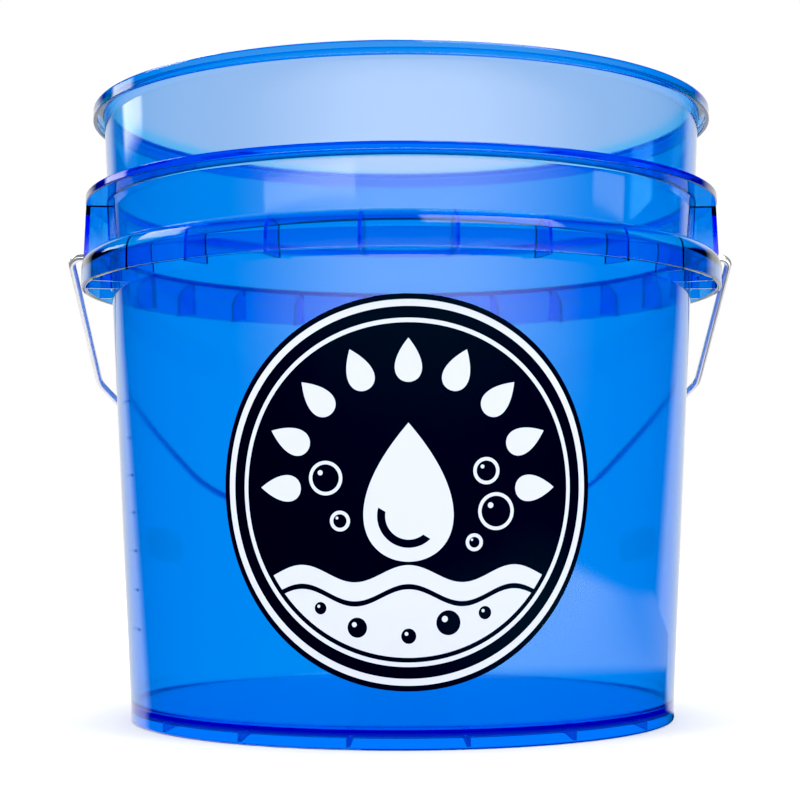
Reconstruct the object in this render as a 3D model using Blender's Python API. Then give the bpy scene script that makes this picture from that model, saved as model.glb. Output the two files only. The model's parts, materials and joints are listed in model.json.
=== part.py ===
"""Wash bucket: a moulded plastic pail with a swinging wire bail, its hand grip and a round front label.

The bucket stands on z = 0 with its axis on +Z. The label faces -Y, and the ears that hold the bail lie
on +X and -X. Lengths in this file are millimetres, and MM turns them into the scene's metres.
The bail is stored hanging behind the bucket, with its grip resting against the back wall.
"""
import math

import bmesh
import bpy
from mathutils import Matrix

MM = 0.001

# Bucket: a slightly tapered wall on a foot ring, with a rim and two rings around the top
HEIGHT = 296.7
BASE_RADIUS = 131.7
TAPER = 0.053                 # growth of the wall's outer radius for each unit of height
WALL = 2.3
FOOT_RADIUS = 132.1
FOOT_HEIGHT = 8.0             # the foot ring stands straight up to here
FOOT_WIDTH = 2.9
FLOOR_TOP = 8.0
FLOOR_UNDERSIDE = 5.0
FLOOR_FILLET = 4.0
EDGE = 0.5                    # small flat on moulded edges
SEGMENTS = 96                 # facets around the bucket
ROUND_STEPS = 3               # facets across a small round edge

# Rim: a flange with a flat land inside, a slope down to its rounded edge, and a short lip turned down
RIM_RADIUS = 152.4
RIM_LAND_RADIUS = 147.1
RIM_ROUND = 1.5
RIM_ROUND_CENTRE_HEIGHT = 293.7
RIM_ROUND_START = 70.0        # degrees above level at which the slope meets the round edge
RIM_UNDERSIDE = 293.0
LIP_BOTTOM = 289.4
LIP_WALL = 1.9

# Upper ring: a plain flange
UPPER_RING_RADIUS = 155.7
UPPER_RING_TOP = 252.3
UPPER_RING_BOTTOM = 248.5

# Lower ring: a shoulder that curves down into a skirt, open underneath and stiffened by gussets
SHOULDER_TOP = 225.8
SHOULDER_RADIUS = 156.9
SHOULDER_BOTTOM = 217.6
SHOULDER_STEPS = 5
SKIRT_RADIUS = 157.4
SKIRT_BOTTOM = 207.5
SKIRT_WALL = 2.2

GUSSET_COUNT = 24
GUSSET_THICKNESS = 1.6
GUSSET_BOTTOM = 208.0
FOOT_RIB_COUNT = 16
FOOT_RIB_BOTTOM = 0.8
FOOT_RIB_LENGTH = 9.0

# Ears: a hollow box on each side between the two rings, open underneath
EAR_HALF_ANGLE = 8.1          # degrees, to the outside of the side plates
EAR_POCKET_HALF_ANGLE = 7.3   # degrees, to the inside of the side plates
EAR_PLATE = 2.1
EAR_TOP_RADIUS = 155.4
EAR_LOW_RADIUS = 156.7
EAR_ROOF = 0.5
EAR_BACKING = 0.6             # extra wall left behind the pocket
WIRE_HOLE_RADIUS = 2.35
WIRE_HOLE_SIDES = 16
WIRE_HOLE_REACH = 6.0         # how far the cutter runs past the plate on each side

# Bail: a round steel wire that turns about the X axis through the ears
PIVOT_HEIGHT = 226.0
WIRE_RADIUS = 1.88
BAIL_DROP = 43.4              # degrees below level at which the grip meets the back wall
HOOK_X = 149.6                # centreline of the hooked end inside the ear
HOOK_LENGTH = 11.0
HOOK_BEND = 3.6
LEG_TOP_X = 165.0
LEG_BEND = 5.0
LEG_FOOT = (159.3, 97.0)      # corners of the bail: distance from the centre, distance from the pivot axis
SHOULDER_CORNER = (113.0, 161.5)
GRIP_CORNER = (60.0, 202.0)
LEG_FOOT_BEND = 16.0
SHOULDER_CORNER_BEND = 60.0
GRIP_CORNER_BEND = 34.0

# Grip: a moulded sleeve that spins on the middle of the bail
GRIP_LENGTH = 92.0
GRIP_RADIUS = 10.0
GRIP_END_RADIUS = 9.0
GRIP_BORE_RADIUS = 2.4
GRIP_SEGMENTS = 32
GRIP_COLLAR = 3.0

# Label: a round vinyl disc laid on the front wall
LABEL_RADIUS = 83.0
LABEL_CENTRE_HEIGHT = 107.5
LABEL_GAP = 0.3
LABEL_THICKNESS = 0.4
LABEL_COLUMNS = 40


def outer_radius(z):
    """Outer radius of the wall at height z."""
    if z <= FOOT_HEIGHT:
        return FOOT_RADIUS
    return BASE_RADIUS + TAPER * z


def inner_radius(z):
    """Inner radius of the wall at height z."""
    return BASE_RADIUS + TAPER * z - WALL


def wall_middle(z):
    """Radius half-way through the wall, where a joined shape ends inside the material."""
    return outer_radius(z) - 0.5 * WALL


def clear_scene():
    """Remove whatever the file holds."""
    for old in list(bpy.data.objects):
        bpy.data.objects.remove(old, do_unlink=True)


def plastic(name, colour, roughness, metallic=0.0):
    """A Principled material with one colour."""
    material = bpy.data.materials.new(name)
    material.use_nodes = True
    shader = material.node_tree.nodes["Principled BSDF"]
    shader.inputs["Base Color"].default_value = (*colour, 1.0)
    shader.inputs["Roughness"].default_value = roughness
    shader.inputs["Metallic"].default_value = metallic
    return material


def add_object(name, data, material=None):
    """Link a named object, with its material when it is a piece."""
    piece = bpy.data.objects.new(name, data)
    bpy.context.scene.collection.objects.link(piece)
    if material:
        data.materials.append(material)
    return piece


def finished_mesh(name, bm, smooth_angle=35.0):
    """Turn a bmesh into a mesh with its faces out and its round surfaces shaded smooth."""
    bmesh.ops.recalc_face_normals(bm, faces=bm.faces)
    mesh = bpy.data.meshes.new(name)
    bm.to_mesh(mesh)
    bm.free()
    mesh.shade_smooth()
    mesh.set_sharp_from_angle(angle=math.radians(smooth_angle))
    return mesh


def arc(centre, radius, start, end, steps):
    """Points on a circular arc in the profile's plane, angles in degrees."""
    points = []
    for step in range(steps + 1):
        angle = math.radians(start + (end - start) * step / steps)
        points.append((centre[0] + radius * math.cos(angle), centre[1] + radius * math.sin(angle)))
    return points


def on_bucket(radius, angle, z):
    """A point in metres at a radius, an angle in degrees from +X, and a height."""
    turn = math.radians(angle)
    return (radius * math.cos(turn) * MM, radius * math.sin(turn) * MM, z * MM)


def turned(profile, segments):
    """Turn a profile that starts and ends on the Z axis, or that closes on itself, into a solid."""
    bm = bmesh.new()
    rings = []
    for radius, z in profile:
        if radius == 0.0:
            rings.append([bm.verts.new((0.0, 0.0, z * MM))] * segments)
            continue
        rings.append([bm.verts.new(on_bucket(radius, 360.0 * step / segments, z)) for step in range(segments)])
    closed = profile[0][0] != 0.0
    pairs = list(zip(rings, rings[1:]))
    if closed:
        pairs.append((rings[-1], rings[0]))
    for upper, lower in pairs:
        for step in range(segments):
            after = (step + 1) % segments
            corners = []
            for corner in (upper[step], upper[after], lower[after], lower[step]):
                if corner not in corners:
                    corners.append(corner)
            bm.faces.new(corners)
    return bm


def add_wedge(bm, profile, angles):
    """Add a solid swept round the bucket's axis through the listed angles from a closed profile."""
    sections = []
    for angle in angles:
        sections.append([bm.verts.new(on_bucket(radius, angle, z)) for radius, z in profile])
    count = len(profile)
    for near, far in zip(sections, sections[1:]):
        for i in range(count):
            j = (i + 1) % count
            bm.faces.new((near[i], near[j], far[j], far[i]))
    bm.faces.new(sections[0])
    bm.faces.new(list(reversed(sections[-1])))


def add_rib(bm, profile, angle, thickness):
    """Add a flat radial plate with a closed outline of radius and height."""
    turn = math.radians(angle)
    sides = []
    for offset in (-0.5 * thickness, 0.5 * thickness):
        side = []
        for radius, z in profile:
            x = radius * math.cos(turn) - offset * math.sin(turn)
            y = radius * math.sin(turn) + offset * math.cos(turn)
            side.append(bm.verts.new((x * MM, y * MM, z * MM)))
        sides.append(side)
    count = len(profile)
    for i in range(count):
        j = (i + 1) % count
        bm.faces.new((sides[0][i], sides[0][j], sides[1][j], sides[1][i]))
    bm.faces.new(sides[0])
    bm.faces.new(list(reversed(sides[1])))


def shoulder_curve(inset):
    """The shoulder's quarter-oval from the wall out to the skirt, moved into the material by an inset."""
    points = []
    start_radius = outer_radius(SHOULDER_TOP)
    across = SHOULDER_RADIUS - inset - start_radius
    drop = SHOULDER_TOP - SHOULDER_BOTTOM
    for step in range(SHOULDER_STEPS + 1):
        angle = math.radians(90.0 * step / SHOULDER_STEPS)
        points.append((start_radius + across * math.sin(angle), SHOULDER_BOTTOM - inset + drop * math.cos(angle)))
    return points


def bucket_profile():
    """Half section of the bucket, from the middle of the floor up the inside and down the outside."""
    profile = [(0.0, FLOOR_TOP)]
    corner_z = FLOOR_TOP + FLOOR_FILLET
    profile += arc((inner_radius(corner_z) - FLOOR_FILLET, corner_z), FLOOR_FILLET, 270.0, 360.0, ROUND_STEPS)
    profile.append((inner_radius(HEIGHT - EDGE), HEIGHT - EDGE))
    profile += [(inner_radius(HEIGHT) + EDGE, HEIGHT), (RIM_LAND_RADIUS, HEIGHT)]
    round_centre = (RIM_RADIUS - RIM_ROUND, RIM_ROUND_CENTRE_HEIGHT)
    profile += arc(round_centre, RIM_ROUND, RIM_ROUND_START, 0.0, ROUND_STEPS)
    profile += [(RIM_RADIUS, LIP_BOTTOM), (RIM_RADIUS - LIP_WALL, LIP_BOTTOM)]
    profile += [(RIM_RADIUS - LIP_WALL, RIM_UNDERSIDE), (outer_radius(RIM_UNDERSIDE), RIM_UNDERSIDE)]
    profile.append((outer_radius(UPPER_RING_TOP), UPPER_RING_TOP))
    profile += [(UPPER_RING_RADIUS - EDGE, UPPER_RING_TOP), (UPPER_RING_RADIUS, UPPER_RING_TOP - EDGE)]
    profile += [(UPPER_RING_RADIUS, UPPER_RING_BOTTOM + EDGE), (UPPER_RING_RADIUS - EDGE, UPPER_RING_BOTTOM)]
    profile.append((outer_radius(UPPER_RING_BOTTOM), UPPER_RING_BOTTOM))
    profile += shoulder_curve(0.0)
    profile += [(SKIRT_RADIUS, SKIRT_BOTTOM), (SKIRT_RADIUS - SKIRT_WALL, SKIRT_BOTTOM)]
    profile += list(reversed(shoulder_curve(SKIRT_WALL)))
    profile.append((outer_radius(FOOT_HEIGHT), FOOT_HEIGHT))
    profile += [(FOOT_RADIUS, EDGE), (FOOT_RADIUS - EDGE, 0.0)]
    profile += [(FOOT_RADIUS - FOOT_WIDTH, 0.0), (FOOT_RADIUS - FOOT_WIDTH, FLOOR_UNDERSIDE)]
    profile.append((0.0, FLOOR_UNDERSIDE))
    return profile


def facet_angles(middle, half):
    """Angles of the bucket's facet edges within half of a middle angle, and the two end angles."""
    facet = 360.0 / SEGMENTS
    count = int(half // facet)
    inside = [middle + facet * step for step in range(-count, count + 1)]
    return [middle - half] + inside + [middle + half]


def stiffening_ribs():
    """The gussets inside the lower ring and the short ribs inside the foot ring."""
    bm = bmesh.new()
    skirt_middle = SKIRT_RADIUS - 0.5 * SKIRT_WALL
    gusset = [(wall_middle(GUSSET_BOTTOM), GUSSET_BOTTOM), (skirt_middle, GUSSET_BOTTOM)]
    gusset += list(reversed(shoulder_curve(0.5 * SKIRT_WALL)))[:-1]
    gusset.append((wall_middle(SHOULDER_TOP), SHOULDER_TOP - 0.5 * SKIRT_WALL))
    pitch = 360.0 / GUSSET_COUNT
    for index in range(GUSSET_COUNT):
        angle = pitch * (index + 0.5)
        from_ear = abs(angle % 180.0 - 90.0)
        if from_ear < 90.0 - EAR_HALF_ANGLE:
            add_rib(bm, gusset, angle, GUSSET_THICKNESS)
    foot_middle = FOOT_RADIUS - 0.5 * FOOT_WIDTH
    foot_inside = FOOT_RADIUS - FOOT_WIDTH
    floor_middle = 0.5 * (FLOOR_TOP + FLOOR_UNDERSIDE)
    rib_end = foot_inside - FOOT_RIB_LENGTH
    foot_rib = [(foot_middle, FOOT_RIB_BOTTOM), (foot_middle, floor_middle), (rib_end, floor_middle)]
    foot_rib += [(rib_end, FLOOR_UNDERSIDE - EDGE), (foot_inside - EDGE, FOOT_RIB_BOTTOM)]
    pitch = 360.0 / FOOT_RIB_COUNT
    for index in range(FOOT_RIB_COUNT):
        add_rib(bm, foot_rib, pitch * (index + 0.5), GUSSET_THICKNESS)
    return bm


def ear_blocks():
    """The outside of both ears, still solid."""
    bm = bmesh.new()
    top = 0.5 * (UPPER_RING_TOP + UPPER_RING_BOTTOM) - EDGE
    profile = [(wall_middle(top), top), (EAR_TOP_RADIUS, top), (EAR_LOW_RADIUS, SHOULDER_BOTTOM + EDGE)]
    profile += [(EAR_LOW_RADIUS, GUSSET_BOTTOM), (wall_middle(GUSSET_BOTTOM), GUSSET_BOTTOM)]
    for middle in (0.0, 180.0):
        add_wedge(bm, profile, facet_angles(middle, EAR_HALF_ANGLE))
    return bm


def ear_pockets():
    """The hollow of both ears, reaching out below the skirt."""
    bm = bmesh.new()
    top = UPPER_RING_BOTTOM - EAR_ROOF
    below = SKIRT_BOTTOM - 2.0
    plate_inside = EAR_LOW_RADIUS - EAR_PLATE
    profile = [(outer_radius(top) + EAR_BACKING, top), (EAR_TOP_RADIUS - EAR_PLATE, top)]
    profile += [(plate_inside, SHOULDER_BOTTOM), (plate_inside, below), (outer_radius(below) + EAR_BACKING, below)]
    for middle in (0.0, 180.0):
        add_wedge(bm, profile, facet_angles(middle, EAR_POCKET_HALF_ANGLE))
    return bm


def wire_holes():
    """A round hole through each ear's outer plate, on the pivot axis."""
    bm = bmesh.new()
    for side in (-1.0, 1.0):
        ends = []
        for x in (EAR_LOW_RADIUS - WIRE_HOLE_REACH, EAR_LOW_RADIUS + WIRE_HOLE_REACH):
            ring = []
            for step in range(WIRE_HOLE_SIDES):
                turn = 2.0 * math.pi * (step + 0.5) / WIRE_HOLE_SIDES
                y = WIRE_HOLE_RADIUS * math.cos(turn)
                z = PIVOT_HEIGHT + WIRE_HOLE_RADIUS * math.sin(turn)
                ring.append(bm.verts.new((side * x * MM, y * MM, z * MM)))
            ends.append(ring)
        for step in range(WIRE_HOLE_SIDES):
            after = (step + 1) % WIRE_HOLE_SIDES
            bm.faces.new((ends[0][step], ends[0][after], ends[1][after], ends[1][step]))
        bm.faces.new(ends[0])
        bm.faces.new(list(reversed(ends[1])))
    return bm


def shaped_by(piece, name, bm, operation):
    """Join or cut a piece with a hidden helper object that keeps its modifier editable."""
    helper = add_object(name, finished_mesh(name, bm))
    helper.hide_render = True
    helper.display_type = "WIRE"
    modifier = piece.modifiers.new(name, "BOOLEAN")
    modifier.operation = operation
    modifier.solver = "EXACT"
    modifier.object = helper


def make_bucket():
    """The one-piece moulding: wall, floor, foot ring, rim, both rings, gussets and ears."""
    material = plastic("translucent_blue_plastic", (0.01, 0.16, 0.80), 0.25)
    mesh = finished_mesh("bucket_body", turned(bucket_profile(), SEGMENTS))
    bucket = add_object("bucket_body", mesh, material)
    shaped_by(bucket, "rib_shapes", stiffening_ribs(), "UNION")
    shaped_by(bucket, "ear_shapes", ear_blocks(), "UNION")
    shaped_by(bucket, "ear_pocket_cutter", ear_pockets(), "DIFFERENCE")
    shaped_by(bucket, "wire_hole_cutter", wire_holes(), "DIFFERENCE")
    return bucket


def rounded_corner(before, corner, after, radius, steps):
    """Points of the arc that rounds a corner of a flat path."""
    into = (corner[0] - before[0], corner[1] - before[1])
    out = (after[0] - corner[0], after[1] - corner[1])
    into_angle = math.atan2(into[1], into[0])
    out_angle = math.atan2(out[1], out[0])
    turn = (out_angle - into_angle + math.pi) % (2.0 * math.pi) - math.pi
    setback = radius * math.tan(0.5 * abs(turn))
    side = math.copysign(1.0, turn)
    start = (corner[0] - setback * math.cos(into_angle), corner[1] - setback * math.sin(into_angle))
    centre = (start[0] - side * radius * math.sin(into_angle), start[1] + side * radius * math.cos(into_angle))
    first = math.degrees(into_angle) - side * 90.0
    return arc(centre, radius, first, first + math.degrees(turn), steps)


def bail_path():
    """Centreline of the wire in the bail's own plane, as distance from the centre and from the pivot."""
    corners = [
        ((HOOK_X, HOOK_LENGTH), None, 0),
        ((HOOK_X, 0.0), HOOK_BEND, 4),
        ((LEG_TOP_X, 0.0), LEG_BEND, 5),
        (LEG_FOOT, LEG_FOOT_BEND, 4),
        (SHOULDER_CORNER, SHOULDER_CORNER_BEND, 3),
        (GRIP_CORNER, GRIP_CORNER_BEND, 4),
    ]
    half = [corners[0][0]]
    for index in range(1, len(corners)):
        corner, radius, steps = corners[index]
        before = corners[index - 1][0]
        after = corners[index + 1][0] if index + 1 < len(corners) else (0.0, corner[1])
        half += rounded_corner(before, corner, after, radius, steps)
    return half + [(-x, w) for x, w in reversed(half)]


def make_bail():
    """The bail wire, with its origin on the pivot axis."""
    material = plastic("zinc_plated_wire", (0.62, 0.63, 0.65), 0.25, metallic=1.0)
    curve = bpy.data.curves.new("bail_wire", "CURVE")
    curve.dimensions = "3D"
    curve.bevel_depth = WIRE_RADIUS * MM
    curve.bevel_resolution = 2
    curve.use_fill_caps = True
    points = bail_path()
    spline = curve.splines.new("POLY")
    spline.points.add(len(points) - 1)
    for point, (x, w) in zip(spline.points, points):
        point.co = (x * MM, w * MM, 0.0, 1.0)
    bail = add_object("bail_wire", curve, material)
    bail.location = (0.0, 0.0, PIVOT_HEIGHT * MM)
    bail.rotation_euler = (math.radians(-BAIL_DROP), 0.0, 0.0)
    return bail


def make_grip(bail):
    """The spinning hand grip, with its origin on the wire's centreline."""
    material = plastic("black_grip_plastic", (0.02, 0.02, 0.022), 0.5)
    half = 0.5 * GRIP_LENGTH
    barrel_steps = 6
    profile = [(GRIP_BORE_RADIUS, half), (GRIP_END_RADIUS - EDGE, half), (GRIP_END_RADIUS, half - EDGE)]
    barrel_end = half - GRIP_COLLAR
    swell = GRIP_RADIUS - GRIP_END_RADIUS + EDGE
    for step in range(barrel_steps + 1):
        along = barrel_end * (1.0 - 2.0 * step / barrel_steps)
        profile.append((GRIP_RADIUS - swell * (along / barrel_end) ** 2, along))
    profile += [(GRIP_END_RADIUS, EDGE - half), (GRIP_END_RADIUS - EDGE, -half), (GRIP_BORE_RADIUS, -half)]
    bm = turned(profile, GRIP_SEGMENTS)
    onto_wire = Matrix.Rotation(math.radians(90.0), 3, "Y")
    bmesh.ops.rotate(bm, verts=bm.verts, cent=(0.0, 0.0, 0.0), matrix=onto_wire)
    grip = add_object("bail_grip", finished_mesh("bail_grip", bm), material)
    grip.parent = bail
    grip.location = (0.0, GRIP_CORNER[1] * MM, 0.0)
    return grip


def make_label():
    """The round label, bent to the wall that it lies on."""
    material = plastic("printed_vinyl", (0.02, 0.02, 0.025), 0.3)
    bm = bmesh.new()
    wall_radius = outer_radius(LABEL_CENTRE_HEIGHT)
    columns = []
    for step in range(LABEL_COLUMNS + 1):
        around = math.pi * step / LABEL_COLUMNS
        across = -LABEL_RADIUS * math.cos(around)
        rise = LABEL_RADIUS * math.sin(around)
        angle = -90.0 + math.degrees(across / wall_radius)
        column = []
        for lift in (LABEL_GAP, LABEL_GAP + LABEL_THICKNESS):
            heights = (LABEL_CENTRE_HEIGHT - rise, LABEL_CENTRE_HEIGHT + rise)
            if step in (0, LABEL_COLUMNS):
                heights = (LABEL_CENTRE_HEIGHT,)
            column.append([bm.verts.new(on_bucket(outer_radius(z) + lift, angle, z)) for z in heights])
        columns.append(column)
    for near, far in zip(columns, columns[1:]):
        for layer in (0, 1):
            ring = near[layer] + list(reversed(far[layer]))
            bm.faces.new(ring)
        for end in (0, -1):
            bm.faces.new((near[0][end], far[0][end], far[1][end], near[1][end]))
    return add_object("front_label", finished_mesh("front_label", bm), material)


def main():
    clear_scene()
    make_bucket()
    bail = make_bail()
    make_grip(bail)
    make_label()


main()
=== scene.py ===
"""Looks of the wash bucket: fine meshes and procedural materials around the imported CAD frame.

The bucket stands on z = 0 with its axis on +Z, its label faces -Y and the ears are on +X and -X.
Lengths named here are millimetres, and MM turns them into metres.
"""
import json
import math

import bmesh
import bpy
from mathutils import Matrix, Vector


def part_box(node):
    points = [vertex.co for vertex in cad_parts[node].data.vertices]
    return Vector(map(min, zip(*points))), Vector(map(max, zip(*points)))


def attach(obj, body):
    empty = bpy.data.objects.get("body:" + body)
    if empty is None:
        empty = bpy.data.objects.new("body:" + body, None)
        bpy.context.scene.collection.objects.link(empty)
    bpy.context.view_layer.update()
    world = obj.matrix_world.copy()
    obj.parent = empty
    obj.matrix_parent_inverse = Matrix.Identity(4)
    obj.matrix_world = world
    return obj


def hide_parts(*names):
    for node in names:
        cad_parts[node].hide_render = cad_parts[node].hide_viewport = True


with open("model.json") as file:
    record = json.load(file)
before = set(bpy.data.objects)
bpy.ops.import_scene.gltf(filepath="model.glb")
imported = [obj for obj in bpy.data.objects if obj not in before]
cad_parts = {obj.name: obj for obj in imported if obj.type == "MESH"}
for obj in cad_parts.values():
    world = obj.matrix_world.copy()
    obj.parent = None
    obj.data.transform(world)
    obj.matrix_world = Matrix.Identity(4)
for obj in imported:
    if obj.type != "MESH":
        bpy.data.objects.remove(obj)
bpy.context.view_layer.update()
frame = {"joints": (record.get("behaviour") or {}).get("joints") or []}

MM = 0.001

# ---------------------------------------------------------------- sizes read from the frame
BUCKET_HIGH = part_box("bucket_body")[1] / MM
LABEL_LOW, LABEL_HIGH = [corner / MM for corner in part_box("front_label")]
GRIP_LOW, GRIP_HIGH = [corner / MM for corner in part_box("bail_grip")]
JOINTS = {joint["name"]: joint for joint in frame["joints"]}
PIVOT_HEIGHT = JOINTS["bail_swing"]["pos_m"][2] / MM
GRIP_CENTRE = Vector(JOINTS["grip_spin"]["pos_m"]) / MM

HEIGHT = BUCKET_HIGH.z
SKIRT_RADIUS = BUCKET_HIGH.x
GRIP_LENGTH = GRIP_HIGH.x - GRIP_LOW.x
GRIP_RADIUS = 0.5 * (GRIP_HIGH.z - GRIP_LOW.z)
LABEL_RADIUS = 0.5 * (LABEL_HIGH.z - LABEL_LOW.z)
LABEL_CENTRE_HEIGHT = 0.5 * (LABEL_HIGH.z + LABEL_LOW.z)
BAIL_REACH = math.hypot(GRIP_CENTRE.y, PIVOT_HEIGHT - GRIP_CENTRE.z)
BAIL_DROP = math.atan2(PIVOT_HEIGHT - GRIP_CENTRE.z, GRIP_CENTRE.y)

# ---------------------------------------------------------------- sizes that the frame doesn't give
# They are within about a millimetre of the CAD's, apart from the height of the bail's lower bends
BASE_RADIUS = 131.7
TAPER = 0.053
WALL = 2.3
FOOT_RADIUS = 132.1
FOOT_HEIGHT = 8.0
FOOT_WIDTH = 2.9
FLOOR_TOP = 8.0
FLOOR_UNDERSIDE = 5.0
RIM_RADIUS = 152.4
RIM_LAND_RADIUS = 147.1
RIM_SHOULDER_HEIGHT = 295.4
RIM_UNDERSIDE = 293.0
LIP_BOTTOM = 289.4
LIP_WALL = 1.9
UPPER_RING_RADIUS = 155.7
UPPER_RING_TOP = 252.3
UPPER_RING_BOTTOM = 248.5
SHOULDER_TOP = 225.8
SHOULDER_RADIUS = 157.4
SHOULDER_BOTTOM = 217.6
SKIRT_BOTTOM = 207.5
SKIRT_WALL = 2.2
SEGMENTS = 288
ARC_STEPS = 5
HOLD = 0.35                   # distance of the extra points that keep long faces flat
LONG_STEP = 6.0 * HOLD
SHOULDER_STEPS = 14

GUSSET_COUNT = 24
GUSSET_THICKNESS = 1.6
GUSSET_BOTTOM = 206.8
FOOT_RIB_COUNT = 16
FOOT_RIB_BOTTOM = 0.8
FOOT_RIB_LENGTH = 9.0
FOOT_RIB_SLOPE = 0.5          # how far the ribs' lower edge is set back at each end

TICK_ANGLE = -158.0           # a column of moulded ticks, one at each litre
TICK_RELIEF = 0.35
TICK_HEIGHT = 1.0
TICK_HALF_ANGLES = (1.3, 2.3)
TICK_LITRES = (2, 9)
TICK_STEPS = 6
CUBIC_MM_PER_LITRE = 1.0e6
WATER_LAYER = 0.25

EAR_HALF_ANGLE = 8.1
EAR_POCKET_HALF_ANGLE = 7.3
EAR_PLATE = 2.1
EAR_TOP_RADIUS = 155.4
EAR_LOW_RADIUS = 156.7
EAR_ROOF = 0.5
EAR_BOTTOM = 208.0
EAR_BACKING = 0.6             # extra wall left behind the pocket
EAR_CORNER_OFFSET = 0.5       # of the plate's corners, from the upper ring's middle and the skirt's top
EAR_STEPS = 14
POCKET_REACH = 2.0            # how far the cutter runs below the skirt
POCKET_STEPS = 12
WIRE_HOLE_RADIUS = 2.35
WIRE_HOLE_SIDES = 32
WIRE_HOLE_REACH = 6.0         # how far the cutter runs past the plate on each side

WIRE_RADIUS = 1.88
WIRE_SIDES = 24
WIRE_END_ROUND = 0.35         # rounding of the wire's ends, as a share of its radius
WIRE_END_STEPS = 3
HOOK_X = 149.6
HOOK_LENGTH = 11.0
HOOK_BEND = 3.6
LEG_TOP_X = 165.0
LEG_BEND = 5.0
LEG_FOOT = (159.3, 84.5)
SHOULDER_CORNER = (113.0, 161.5)
GRIP_CORNER_X = 60.0
LEG_FOOT_BEND = 16.0
SHOULDER_CORNER_BEND = 60.0
GRIP_CORNER_BEND = 34.0


def outer_radius(z):
    """Outer radius of the wall at height z."""
    if z <= FOOT_HEIGHT:
        return FOOT_RADIUS
    return BASE_RADIUS + TAPER * z


def inner_radius(z):
    """Inner radius of the wall at height z."""
    return BASE_RADIUS + TAPER * z - WALL


def wall_middle(z):
    """Radius half-way through the wall."""
    return outer_radius(z) - 0.5 * WALL


# ---------------------------------------------------------------- mesh helpers
def on_bucket(radius, angle, z):
    """A point in metres at a radius, an angle in degrees from +X, and a height."""
    turn = math.radians(angle)
    return (radius * math.cos(turn) * MM, radius * math.sin(turn) * MM, z * MM)


def arc(centre, radius, start, end, steps):
    """Points on a circular arc in a flat section, angles in degrees."""
    points = []
    for step in range(steps + 1):
        angle = math.radians(start + (end - start) * step / steps)
        points.append((centre[0] + radius * math.cos(angle), centre[1] + radius * math.sin(angle)))
    return points


def rounded_corner(before, corner, after, radius, steps):
    """Points of the arc that rounds a corner of a flat path."""
    into = (corner[0] - before[0], corner[1] - before[1])
    out = (after[0] - corner[0], after[1] - corner[1])
    into_angle = math.atan2(into[1], into[0])
    out_angle = math.atan2(out[1], out[0])
    turn = (out_angle - into_angle + math.pi) % (2.0 * math.pi) - math.pi
    setback = radius * math.tan(0.5 * abs(turn))
    side = math.copysign(1.0, turn)
    start = (corner[0] - setback * math.cos(into_angle), corner[1] - setback * math.sin(into_angle))
    from_start = (-side * radius * math.sin(into_angle), side * radius * math.cos(into_angle))
    centre = (start[0] + from_start[0], start[1] + from_start[1])
    first = math.degrees(into_angle) - side * 90.0
    return arc(centre, radius, first, first + math.degrees(turn), steps)


def rounded_path(corners):
    """A path through (point, radius) corners, with an arc at each corner that has a radius."""
    path = []
    for index, (corner, radius) in enumerate(corners):
        if radius == 0.0 or index in (0, len(corners) - 1):
            path.append(corner)
            continue
        before = corners[index - 1][0]
        after = corners[index + 1][0]
        path += rounded_corner(before, corner, after, radius, ARC_STEPS)
    return path


def held_flat(path):
    """The same path with extra points near the ends of its long steps, which keep them flat when shaded."""
    held = []
    for start, end in zip(path, path[1:]):
        held.append(start)
        length = math.dist(start, end)
        if length > LONG_STEP:
            share = HOLD / length
            for part in (share, 1.0 - share):
                held.append((start[0] + part * (end[0] - start[0]), start[1] + part * (end[1] - start[1])))
    return held + [path[-1]]


def turned(profile, segments):
    """Turn a profile that starts and ends on the Z axis, or that closes on itself, into a solid."""
    bm = bmesh.new()
    rings = []
    for radius, z in profile:
        if radius == 0.0:
            rings.append([bm.verts.new((0.0, 0.0, z * MM))] * segments)
            continue
        ring = []
        for step in range(segments):
            ring.append(bm.verts.new(on_bucket(radius, 360.0 * step / segments, z)))
        rings.append(ring)
    pairs = list(zip(rings, rings[1:]))
    if profile[0][0] != 0.0:
        pairs.append((rings[-1], rings[0]))
    for upper, lower in pairs:
        for step in range(segments):
            after = (step + 1) % segments
            corners = []
            for corner in (upper[step], upper[after], lower[after], lower[step]):
                if corner not in corners:
                    corners.append(corner)
            bm.faces.new(corners)
    return bm


def join_rings(bm, near, far):
    """Add the faces between two rings that have the same number of points."""
    for step in range(len(near)):
        after = (step + 1) % len(near)
        bm.faces.new((near[step], near[after], far[after], far[step]))


def add_ends(bm, rings):
    """Close a solid with its first and its last ring."""
    bm.faces.new(rings[0])
    bm.faces.new(list(reversed(rings[-1])))


def add_wedge(bm, profile, middle, half, steps):
    """Add a solid swept round the bucket's axis from a closed profile, angles in degrees."""
    sections = []
    for step in range(steps + 1):
        angle = middle - half + 2.0 * half * step / steps
        sections.append([bm.verts.new(on_bucket(radius, angle, z)) for radius, z in profile])
    for near, far in zip(sections, sections[1:]):
        join_rings(bm, near, far)
    add_ends(bm, sections)


def add_rib(bm, profile, angle, thickness):
    """Add a flat radial plate with a closed outline of radius and height."""
    turn = math.radians(angle)
    sides = []
    for offset in (-0.5 * thickness, 0.5 * thickness):
        side = []
        for radius, z in profile:
            x = radius * math.cos(turn) - offset * math.sin(turn)
            y = radius * math.sin(turn) + offset * math.cos(turn)
            side.append(bm.verts.new((x * MM, y * MM, z * MM)))
        sides.append(side)
    join_rings(bm, *sides)
    add_ends(bm, sides)


def mesh_from(name, bm):
    """Turn a bmesh into a mesh with its faces out."""
    bmesh.ops.recalc_face_normals(bm, faces=bm.faces)
    mesh = bpy.data.meshes.new(name)
    bm.to_mesh(mesh)
    bm.free()
    return mesh


def add_object(name, data):
    """Link a named object."""
    piece = bpy.data.objects.new(name, data)
    bpy.context.scene.collection.objects.link(piece)
    return piece


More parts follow.
